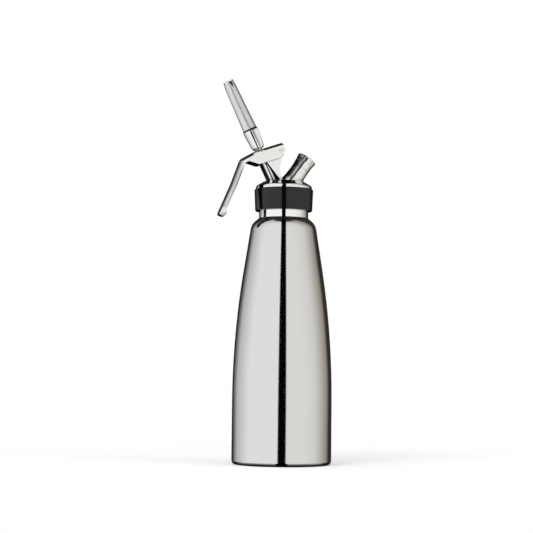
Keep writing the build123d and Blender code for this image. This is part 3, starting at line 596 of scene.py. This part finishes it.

# %% [markdown]
# ## The lever's steel
#
# The lever is pressed from sheet. Its back is buffed with the head, but the long sides of the
# handle are brushed lengthwise, because fingers would soon scratch a mirror there. The sides also
# get painted shade along their margins and painted light in their middle, and the inside is
# painted dark, as painted shade.
#
# Three masks put these finishes where they belong. Below the knee is found by height, a side by
# a surface that faces sideways, and the inside by a surface that faces the bottle or the other
# side.

# %% Pressed steel with a brushed handle
KNEE_Z = (0.263, 0.270)  # the handle's brushing fades out over this height
FOOT_Z = (0.229, 0.232)  # and again above its rounded foot
HANDLE_SLOPE = math.radians(70.0)
BRUSH_MM = 0.9  # real brush marks are finer, and would not show
BRUSH_LONG_MM = 28.6
BRUSHED_DULL = 0.22
STROKE_SPAN = (0.32, 0.68)
STROKE_GAIN = (0.78, 1.1)  # a stroke darkens or lightens the side by this much
SIDE_FACING = (0.75, 0.95)  # 1 faces straight sideways
GRIP_Z = (0.236, 0.258)  # the straight part of the handle, where its depth is measured
TOWARDS_BOTTLE = Vector((math.sin(HANDLE_SLOPE), 0, -math.cos(HANDLE_SLOPE)))
ALONG_HANDLE = Vector((math.cos(HANDLE_SLOPE), 0, math.sin(HANDLE_SLOPE)))
SIDE_SHADE_TONES = [(0.04, "2B2B2C"), (0.16, "CECECE"), (0.60, "E4E4E4"), (0.82, "A8A8A8"),
              (0.97, "6A6A6A")]  # painted shade at the margins of each side, painted light in its middle

points = [point.co for point in frame["nodes"]["lever"].data.vertices]
grip = [point for point in points if GRIP_Z[0] < point.z < GRIP_Z[1]]
SIDE_FROM = min(TOWARDS_BOTTLE.dot(point) for point in grip)
SIDE_TO = max(TOWARDS_BOTTLE.dot(point) for point in grip)
print(f"handle is {(SIDE_TO - SIDE_FROM) * 1000:.1f} mm deep, {len(grip)} points")

pressed, tree, shader, tone, dull = buffed_steel("pressed_lever_stainless")
coordinates = add(tree, "ShaderNodeTexCoord")
place, facing = coordinates.outputs["Object"], coordinates.outputs["Normal"]
at = add(tree, "ShaderNodeSeparateXYZ", {"Vector": place})
out = add(tree, "ShaderNodeSeparateXYZ", {"Vector": facing})
low = add(tree, "ShaderNodeMapRange", {
    "Value": at.outputs["Z"], "From Min": KNEE_Z[1], "From Max": KNEE_Z[0],
})
sideways = add(tree, "ShaderNodeMath", {0: out.outputs["Y"]}, operation="ABSOLUTE")
flat_side = add(tree, "ShaderNodeMapRange", {
    "Value": sideways.outputs[0], "From Min": SIDE_FACING[0], "From Max": SIDE_FACING[1],
})
above_foot = add(tree, "ShaderNodeMapRange", {
    "Value": at.outputs["Z"], "From Min": FOOT_Z[0], "From Max": FOOT_Z[1],
})
brushed = low
for limit in (flat_side, above_foot):
    brushed = add(tree, "ShaderNodeMath", {
        0: brushed.outputs[0], 1: limit.outputs["Result"],
    }, operation="MULTIPLY")
across = add(tree, "ShaderNodeVectorMath", {0: place, 1: TOWARDS_BOTTLE}, operation="DOT_PRODUCT")
along = add(tree, "ShaderNodeVectorMath", {0: place, 1: ALONG_HANDLE}, operation="DOT_PRODUCT")
drawn_out = add(tree, "ShaderNodeCombineXYZ", {
    "X": across.outputs["Value"], "Y": at.outputs["Y"], "Z": along.outputs["Value"],
})
strokes_at = add(tree, "ShaderNodeVectorMath", {
    0: drawn_out.outputs[0], 1: (1000 / BRUSH_MM, 1000 / BRUSH_MM, 1000 / BRUSH_LONG_MM),
}, operation="MULTIPLY")
strokes = add(tree, "ShaderNodeTexNoise", {
    "Vector": strokes_at.outputs[0], "Scale": 1.0, "Detail": 3.0, "Roughness": 0.5,
})
stroke_tone = add(tree, "ShaderNodeMapRange", {
    "Value": strokes.outputs["Fac"], "From Min": STROKE_SPAN[0], "From Max": STROKE_SPAN[1],
    "To Min": STROKE_GAIN[0], "To Max": STROKE_GAIN[1],
})
share = add(tree, "ShaderNodeMapRange", {
    "Value": across.outputs["Value"], "From Min": SIDE_FROM, "From Max": SIDE_TO,
})
# Painted shade and light: this ramp darkens the margins of each side and lightens its middle.
margin_shade = add(tree, "ShaderNodeValToRGB", {"Fac": share.outputs["Result"]})
spread_colours(margin_shade, SIDE_SHADE_TONES)
side_colour = add(tree, "ShaderNodeVectorMath", {
    0: margin_shade.outputs["Color"], "Scale": stroke_tone.outputs["Result"],
}, operation="SCALE")
with_side = add(tree, "ShaderNodeMix", {
    0: brushed.outputs[0], 6: tone, 7: side_colour.outputs[0],
}, data_type="RGBA")
side_dull = add(tree, "ShaderNodeMix", {
    0: brushed.outputs[0], 2: dull, 3: BRUSHED_DULL,
}, data_type="FLOAT")
print("brush marks", BRUSH_MM, "mm apart along the handle")

# %% The inside of the pressing
INNER_SIDE = (-0.003, -0.004)  # a wall's distance from the middle, minus as it faces inwards
UNDER_FACING = (0.45, 0.6)  # 1 faces the bottle
# Painted shade: the inside and the underside of the pressing are coloured dark.
INNER_SHADE, INNER_DULL = "2C2B2B", 0.4

inward = add(tree, "ShaderNodeMath", {
    0: out.outputs["Y"], 1: at.outputs["Y"],
}, operation="MULTIPLY")
inner_side = add(tree, "ShaderNodeMapRange", {
    "Value": inward.outputs[0], "From Min": INNER_SIDE[0], "From Max": INNER_SIDE[1],
})
below = add(tree, "ShaderNodeVectorMath", {0: facing, 1: TOWARDS_BOTTLE}, operation="DOT_PRODUCT")
underside = add(tree, "ShaderNodeMapRange", {
    "Value": below.outputs["Value"], "From Min": UNDER_FACING[0], "From Max": UNDER_FACING[1],
})
inside = add(tree, "ShaderNodeMath", {
    0: inner_side.outputs["Result"], 1: underside.outputs["Result"],
}, operation="MAXIMUM")
# Painted shade is mixed over the inside of the pressing.
with_inside = add(tree, "ShaderNodeMix", {
    0: inside.outputs[0], 6: with_side.outputs[2], 7: linear(INNER_SHADE),
}, data_type="RGBA")
inside_dull = add(tree, "ShaderNodeMix", {
    0: inside.outputs[0], 2: side_dull.outputs[0], 3: INNER_DULL,
}, data_type="FLOAT")
tree.links.new(with_inside.outputs[2], shader.inputs["Base Color"])
tree.links.new(inside_dull.outputs[0], shader.inputs["Roughness"])
# The inside that this print calls raw is painted shade.
print("lever finishes: buffed back, brushed sides, raw inside")

# %% [markdown]
# ## The tip's steel
#
# The tip is turned from bar. Its grip, with the two milled flutes, is buffed, and the long tube
# above it is rubbed lengthwise to a satin. A line of painted shade runs under the ledge, and the
# bore is painted dark, as painted shade.
#
# All of this follows the valve's slanted axis, which was found above. Rubbing lengthwise spreads
# light round the tube, so the tangent runs round it too, square to that axis and to the surface.

# %% Turned steel along the tip's axis
TUBE_FROM = 0.0190  # the tube starts this far above the tip's root
TUBE_EDGE = 0.0006
LEDGE_HALF = 0.0007  # half the height of the painted shade line under the ledge
BORE_R = 0.0042
MASK_EDGE = 0.0002
RUB_MM = 0.5
RUB_LONG_MM = 25.0
TUBE_DULL, BORE_DULL = 0.27, 0.45
TUBE_TONES = ("D0D1D2", "E6E7E7")
# Painted shade: a dark line under the ledge and a dark bore.
LEDGE_SHADE, BORE_SHADE = "2B2A2A", "2A2928"

points = [point.co for point in frame["nodes"]["decorator_tip"].data.vertices]
levels = [TIP_AXIS.dot(point - TIP_MID) for point in points]
tube_low = min(levels) + TUBE_FROM

turned_tip, tree, shader, tone, dull = buffed_steel("turned_tip_stainless")
shader.inputs["Anisotropic"].default_value = 0.70  # lengthwise rubbing spreads light around
coordinates = add(tree, "ShaderNodeTexCoord")
around = add(tree, "ShaderNodeVectorMath", {0: TIP_AXIS, 1: coordinates.outputs["Normal"]},
             operation="CROSS_PRODUCT")
tree.links.new(around.outputs[0], shader.inputs["Tangent"])
own, off_axis = along_axis(tree, coordinates.outputs["Object"], TIP_MID, TIP_LEAN)
level = add(tree, "ShaderNodeSeparateXYZ", {"Vector": own}).outputs["Z"]
tube = add(tree, "ShaderNodeMapRange", {
    "Value": level, "From Min": tube_low - TUBE_EDGE, "From Max": tube_low + TUBE_EDGE,
})
rub_at = add(tree, "ShaderNodeVectorMath", {
    0: own, 1: (1000 / RUB_MM, 1000 / RUB_MM, 1000 / RUB_LONG_MM),
}, operation="MULTIPLY")
rubbed = add(tree, "ShaderNodeTexNoise", {
    "Vector": rub_at.outputs[0], "Scale": 1.0, "Detail": 3.0,
})
rub_tone = add(tree, "ShaderNodeMapRange", {
    "Value": rubbed.outputs["Fac"], "From Min": NOISE_SPAN[0], "From Max": NOISE_SPAN[1],
})
tube_colour = add(tree, "ShaderNodeMix", {
    0: rub_tone.outputs["Result"], 6: linear(TUBE_TONES[0]), 7: linear(TUBE_TONES[1]),
}, data_type="RGBA")
with_tube = add(tree, "ShaderNodeMix", {
    0: tube.outputs["Result"], 6: tone, 7: tube_colour.outputs[2],
}, data_type="RGBA")
from_ledge = add(tree, "ShaderNodeMath", {0: level, 1: tube_low}, operation="SUBTRACT")
ledge_away = add(tree, "ShaderNodeMath", {0: from_ledge.outputs[0]}, operation="ABSOLUTE")
# Painted shade: a thin band under the ledge is coloured dark.
ledge = add(tree, "ShaderNodeMapRange", {
    "Value": ledge_away.outputs[0], "From Min": LEDGE_HALF + MASK_EDGE, "From Max": LEDGE_HALF,
})
with_ledge = add(tree, "ShaderNodeMix", {
    0: ledge.outputs["Result"], 6: with_tube.outputs[2], 7: linear(LEDGE_SHADE),
}, data_type="RGBA")
tube_dull = add(tree, "ShaderNodeMix", {
    0: tube.outputs["Result"], 2: dull, 3: TUBE_DULL,
}, data_type="FLOAT")
# Painted shade: the inside of the bore is coloured dark.
bore = add(tree, "ShaderNodeMapRange", {
    "Value": off_axis, "From Min": BORE_R + MASK_EDGE, "From Max": BORE_R,
})
with_bore = add(tree, "ShaderNodeMix", {
    0: bore.outputs["Result"], 6: with_ledge.outputs[2], 7: linear(BORE_SHADE),
}, data_type="RGBA")
bore_dull = add(tree, "ShaderNodeMix", {
    0: bore.outputs["Result"], 2: tube_dull.outputs[0], 3: BORE_DULL,
}, data_type="FLOAT")
tree.links.new(with_bore.outputs[2], shader.inputs["Base Color"])
tree.links.new(bore_dull.outputs[0], shader.inputs["Roughness"])
print(f"tip is satin from {tube_low * 1000:.1f} mm above the collar, bore {BORE_R * 2000:.1f} mm")

# %% [markdown]
# ## Turned steel, spring wire and nickelled brass
#
# Small parts from the lathe keep fine tool marks, a spring is drawn through a die and tempered
# to a slightly brown grey, and the needle's holder is brass with a thin coat of nickel, which is
# warmer than steel.

# %% Small metal parts
TOOL_MARK_MM = 0.35
MARK_STRENGTH, MARK_DEPTH = 0.12, 0.00005
SMALL_METALS = {  # colour, then roughness from and to
    "turned_stainless": ("CFCFCD", 0.22, 0.30),
    "spring_wire_steel": ("B9B6AF", 0.20, 0.28),
    "nickelled_brass": ("D8CFB4", 0.16, 0.24),
}
small = {}
for name, (colour, smooth, rough) in SMALL_METALS.items():
    made, tree, shader = material(name, colour, 1.0, smooth)
    place = add(tree, "ShaderNodeTexCoord").outputs["Object"]
    marks = add(tree, "ShaderNodeTexNoise", {
        "Vector": place, "Scale": 1000 / TOOL_MARK_MM, "Detail": 2.0,
    })
    spread = add(tree, "ShaderNodeMapRange", {
        "Value": marks.outputs["Fac"], "From Min": NOISE_SPAN[0], "From Max": NOISE_SPAN[1],
        "To Min": smooth, "To Max": rough,
    })
    cut = add(tree, "ShaderNodeBump", {
        "Height": marks.outputs["Fac"], "Strength": MARK_STRENGTH, "Distance": MARK_DEPTH,
    })
    tree.links.new(spread.outputs["Result"], shader.inputs["Roughness"])
    tree.links.new(cut.outputs[0], shader.inputs["Normal"])
    small[name] = made
print("small metals:", sorted(small))

# %% [markdown]
# ## Moulded silicone and plastic
#
# The band and the seals are pressed in polished moulds, so their skin is smooth and slightly
# wet-looking. Black rubber shows only what it reflects, a twenty-fifth of the room. Seals get
# the brick red that food silicone is often dyed, and the cage of the check valve is natural
# white plastic.

# %% Silicone and plastic
SKIN_MM = 0.6
GRAIN_STRENGTH, GRAIN_DEPTH = 0.05, 0.00005
MOULDED = {  # colour, roughness from and to, IOR
    "black_moulded_silicone": ("0A0A0B", 0.05, 0.08, 1.45),
    "red_seal_silicone": ("A8412F", 0.38, 0.50, 1.42),
    "white_moulded_plastic": ("E9E8E2", 0.30, 0.40, 1.50),
}
moulded = {}
for name, (colour, smooth, rough, ior) in MOULDED.items():
    made, tree, shader = material(name, colour, 0.0, smooth, IOR=ior)
    place = add(tree, "ShaderNodeTexCoord").outputs["Object"]
    mould_skin_or_port_shade = add(tree, "ShaderNodeTexNoise", {
        "Vector": place, "Scale": 1000 / SKIN_MM, "Detail": 2.0,
    })
    spread = add(tree, "ShaderNodeMapRange", {
        "Value": mould_skin_or_port_shade.outputs["Fac"], "From Min": NOISE_SPAN[0], "From Max": NOISE_SPAN[1],
        "To Min": smooth, "To Max": rough,
    })
    grain = add(tree, "ShaderNodeBump", {
        "Height": mould_skin_or_port_shade.outputs["Fac"], "Strength": GRAIN_STRENGTH, "Distance": GRAIN_DEPTH,
    })
    tree.links.new(spread.outputs["Result"], shader.inputs["Roughness"])
    tree.links.new(grain.outputs[0], shader.inputs["Normal"])
    moulded[name] = made
print("moulded finishes:", sorted(moulded))

# %% [markdown]
# ## Dress the pieces
#
# Each piece of the model gets the finish that its real one has. The list reads like a maker's
# parts list.

# %% Give every piece its finish
FINISHES = [
    (satin, ["bottle"]),
    (buffed, ["head_body", "lever_pin", "port_cap"]),
    (pressed, ["lever"]),
    (turned_tip, ["decorator_tip"]),
    (small["turned_stainless"], ["valve_stem", "stem_collar", "plug_washer", "plug_nut",
                                 "spring_washer", "piercing_pin"]),
    (small["spring_wire_steel"], ["valve_spring"]),
    (small["nickelled_brass"], ["pin_holder"]),
    (moulded["black_moulded_silicone"], ["grip_band"]),
    (moulded["red_seal_silicone"], ["head_gasket", "valve_plug", "stem_oring", "tip_seal",
                                    "charger_seal", "check_valve", "cap_liner"]),
    (moulded["white_moulded_plastic"], ["check_cage"]),
]
for finish, names in FINISHES:
    for name in names:
        piece = frame["nodes"][name]
        if not piece.material_slots:
            piece.data.materials.append(finish)
        for slot in piece.material_slots:
            slot.link = "OBJECT"
            slot.material = finish
    print(finish.name, "on", names)

# %% [markdown]
# ## The valve's spring
#
# A coil spring pushes the stem back up when the lever is let go. It is wound from round wire, and
# its first and last turns lie flat, so that it stands square on its washer. Winding it here gives
# it those turns.
#
# The path climbs by one wire's thickness over each end turn and evenly in between. A spring and a
# screw thread are made alike: a small cross-section is walked round an axis, and each row of
# points is joined to the next, so one function makes the mesh for both.

# %% From rows of points to a piece


def wound_piece(name, rows, closed, place, finish, body):
    """Join rows of points into one piece with both ends capped. It rides on the body."""
    form = bmesh.new()
    rings = [[form.verts.new(place @ Vector(point)) for point in row] for row in rows]
    count = len(rings[0])
    for near, far in zip(rings, rings[1:]):
        for first in range(count if closed else count - 1):
            after = (first + 1) % count
            form.faces.new((near[first], far[first], far[after], near[after]))
    form.faces.new(rings[0])
    form.faces.new(reversed(rings[-1]))
    bmesh.ops.recalc_face_normals(form, faces=form.faces)
    mesh = bpy.data.meshes.new(name)
    form.to_mesh(mesh)
    form.free()
    for face in mesh.polygons:
        face.use_smooth = True
    mesh.materials.append(finish)
    piece = bpy.data.objects.new(name, mesh)
    bpy.context.scene.collection.objects.link(piece)
    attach(piece, body)
    print(name, len(mesh.polygons), "faces")
    return piece


# %% Wind the spring
WIRE_R = 0.0004
WIRE_SIDES = 10
COIL_STEPS = 40
COILS = 7.0
DEAD = 1.0  # flat turns at each end

wound = [point.co for point in frame["nodes"]["valve_spring"].data.vertices]
rise = [TIP_AXIS.dot(point - TIP_MID) for point in wound]
foot, head = min(rise), max(rise)
coil_r = max((point - TIP_MID - TIP_AXIS * up).length for point, up in zip(wound, rise)) - WIRE_R
spring_place = Matrix.Translation(TIP_MID) @ Matrix.Rotation(TIP_LEAN, 4, "Y")
active = head - foot - 2 * WIRE_R - 2 * DEAD * 2 * WIRE_R

rows = []
steps = round(COILS * COIL_STEPS)
for step in range(steps + 1):
    turn = COILS * step / steps
    climbed = active * min(max((turn - DEAD) / (COILS - 2 * DEAD), 0.0), 1.0)
    flat = 2 * WIRE_R * (min(turn, DEAD) + max(turn - COILS + DEAD, 0.0))
    angle = 2 * math.pi * turn
    row = []
    for side in range(WIRE_SIDES):
        around_wire = 2 * math.pi * side / WIRE_SIDES
        reach = coil_r + WIRE_R * math.cos(around_wire)
        height = foot + WIRE_R + climbed + flat + WIRE_R * math.sin(around_wire)
        row.append((reach * math.cos(angle), reach * math.sin(angle), height))
    rows.append(row)
spring = wound_piece("return_spring", rows, True, spring_place,
                     small["spring_wire_steel"], "head")
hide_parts("valve_spring")

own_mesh(spring)
print(f"spring {(head - foot) * 1000:.2f} mm long, coil radius {coil_r * 1000:.2f} mm")

# %% [markdown]
# ## Screw threads
#
# The head screws onto the bottle's neck, and the charger's holder onto the port once the cap is
# off. Both threads are rolled, so they are low and rounded, wind to the right and run out
# gently at their ends. A coarse thread on the neck lets wet hands find its start.
#
# One ridge is enough for each: a small cross-section, walked round the axis while it climbs.

# %% Wind the ridges
TURN_STEPS = 72
RUN_OUT = 0.12  # of a turn, at each end
ROOT = 0.00006  # the ridge's foot lies this far inside the metal
RIDGE = [  # up the axis in pitches, and out in depths
    (-0.30, 0.0), (-0.20, 0.55), (-0.08, 1.0), (0.08, 1.0), (0.20, 0.55), (0.30, 0.0),
]


def thread(name, body, finish, place, radius, low, high, pitch, depth):
    """A ridge of a rolled thread round a cylinder whose axis and start are given by place."""
    turns = (high - low) / pitch
    steps = round(turns * TURN_STEPS)
    rows = []
    for step in range(steps + 1):
        turn = turns * step / steps
        angle = 2 * math.pi * turn
        swell = min(1.0, turn / RUN_OUT, (turns - turn) / RUN_OUT)
        row = []
        for up, out in RIDGE:
            reach = radius - ROOT + out * swell * (depth + ROOT)
            height = low + pitch * (turn + up)
            row.append((reach * math.cos(angle), reach * math.sin(angle), height))
        rows.append(row)
    print(name, f"{turns:.1f} turns")
    return wound_piece(name, rows, False, place, finish, body)


# %% Thread the neck and the port
NECK_R = 0.0224
NECK_RUN = (NECK_TOP - 0.0125, NECK_TOP - 0.0020)
NECK_PITCH, NECK_DEPTH = 0.0032, 0.00026
CORE_R = 0.0070
CORE_RUN = (-0.0066, -0.0017)  # measured along the port from the cap's liner
CORE_PITCH, CORE_DEPTH = 0.0015, 0.00022

port_place = Matrix.Translation(PORT_MID) @ Matrix.Rotation(PORT_LEAN, 4, "Y")
neck_thread = thread("neck_thread", "bottle", satin, Matrix.Identity(4),
                     NECK_R, *NECK_RUN, NECK_PITCH, NECK_DEPTH)
port_thread = thread("port_thread", "head", small["turned_stainless"], port_place,
                     CORE_R, *CORE_RUN, CORE_PITCH, CORE_DEPTH)

# %% Gather the two sizes and finish
size = {
    "cad": [list(corner) for corner in CAD_BOX],
    "visual": [list(corner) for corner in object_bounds()],
}
print("visual box:", [[round(v, 4) for v in corner] for corner in size["visual"]])
